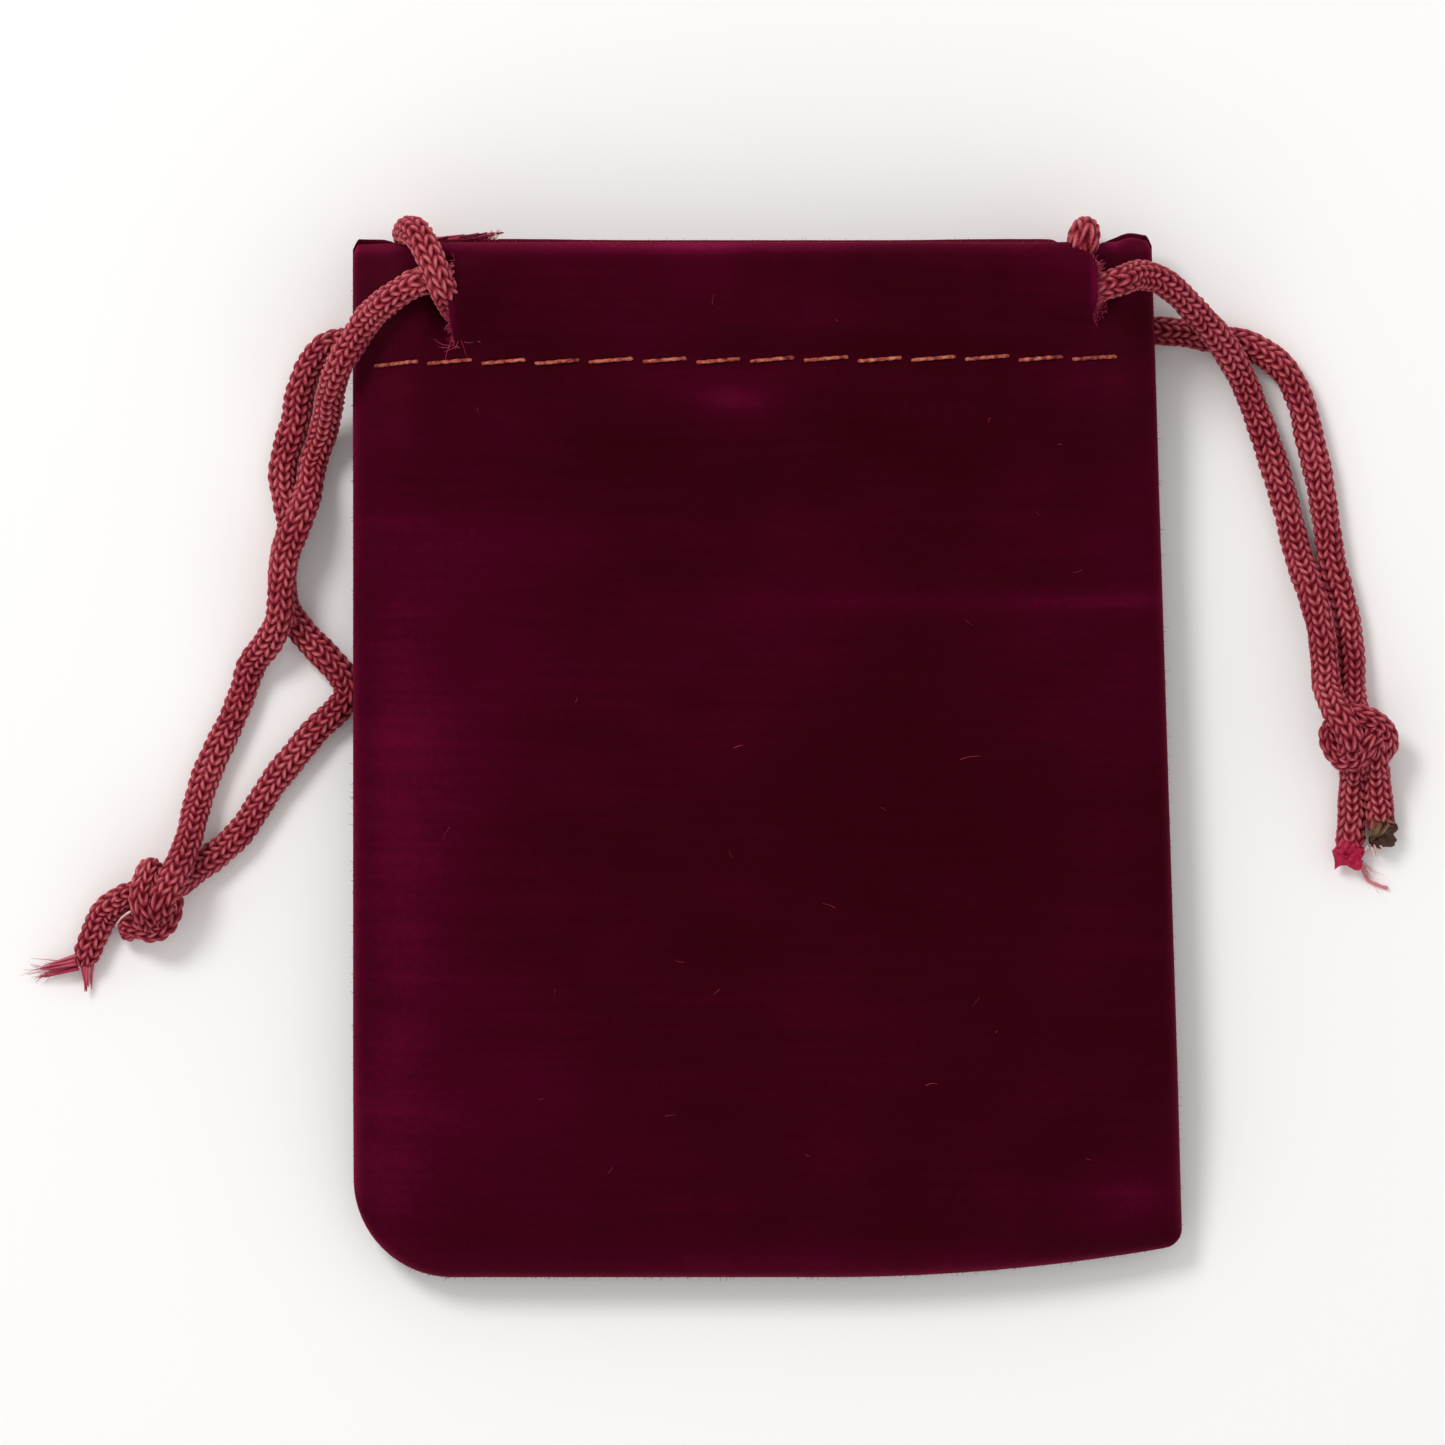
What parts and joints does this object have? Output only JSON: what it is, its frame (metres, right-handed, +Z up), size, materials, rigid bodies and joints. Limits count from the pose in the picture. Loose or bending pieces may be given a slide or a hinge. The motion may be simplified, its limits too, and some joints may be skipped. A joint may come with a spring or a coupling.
{
  "type": "drawstring gift pouch",
  "caption": "Flat velvet gift pouch with a stitched channel round its mouth and two knitted drawstrings knotted at opposite sides.",
  "frame": {"origin": "on the table under the middle of the pouch, measured without the cords", "axes": "+Y towards the mouth, +X to the right as the pouch lies face up, +Z up out of its face"},
  "size_m": [0.1154, 0.0926, 0.0178],
  "materials": {
    "velvet": "burgundy polyester velvet, short cut pile",
    "knitted_cord": "crimson knitted polyester cord",
    "sewing_thread": "spun polyester sewing thread"
  },
  "bodies": {
    "pouch": {"front_panel": "velvet", "back_panel": "velvet", "front_channel_thread": "sewing_thread", "back_channel_thread": "sewing_thread", "seam_thread": "sewing_thread", "left_cord_front_run": "knitted_cord", "left_cord_back_run": "knitted_cord", "right_cord_front_run": "knitted_cord", "right_cord_back_run": "knitted_cord"},
    "left_mouth_corner": {"right_cord_loop": "knitted_cord"},
    "right_mouth_corner": {"left_cord_loop": "knitted_cord"},
    "left_drawstring_end": {"left_cord_front_strand": "knitted_cord", "left_cord_back_strand": "knitted_cord", "left_knot": "knitted_cord", "left_long_tail": "knitted_cord", "left_short_tail": "knitted_cord"},
    "right_drawstring_end": {"right_cord_front_strand": "knitted_cord", "right_cord_back_strand": "knitted_cord", "right_knot": "knitted_cord", "right_red_tail": "knitted_cord", "right_burnt_tail": "knitted_cord"}
  },
  "joints": [
    {"name": "left_pull", "type": "slide", "parent": "left_mouth_corner", "child": "left_drawstring_end", "axis": [-1, 0, 0], "range_m": [0, 0.032]},
    {"name": "left_gather", "type": "slide", "parent": "pouch", "child": "left_mouth_corner", "axis": [1, 0, 0], "range_m": [0, 0.016]},
    {"name": "right_pull", "type": "slide", "parent": "right_mouth_corner", "child": "right_drawstring_end", "axis": [1, 0, 0], "range_m": [0, 0.032]},
    {"name": "right_gather", "type": "slide", "parent": "pouch", "child": "right_mouth_corner", "axis": [-1, 0, 0], "range_m": [0, 0.016]}
  ],
  "couplings": [
    {"joint": "left_gather", "follows": "left_pull", "ratio": 0.5},
    {"joint": "right_pull", "follows": "left_pull", "ratio": 1},
    {"joint": "right_gather", "follows": "left_pull", "ratio": 0.5}
  ]
}
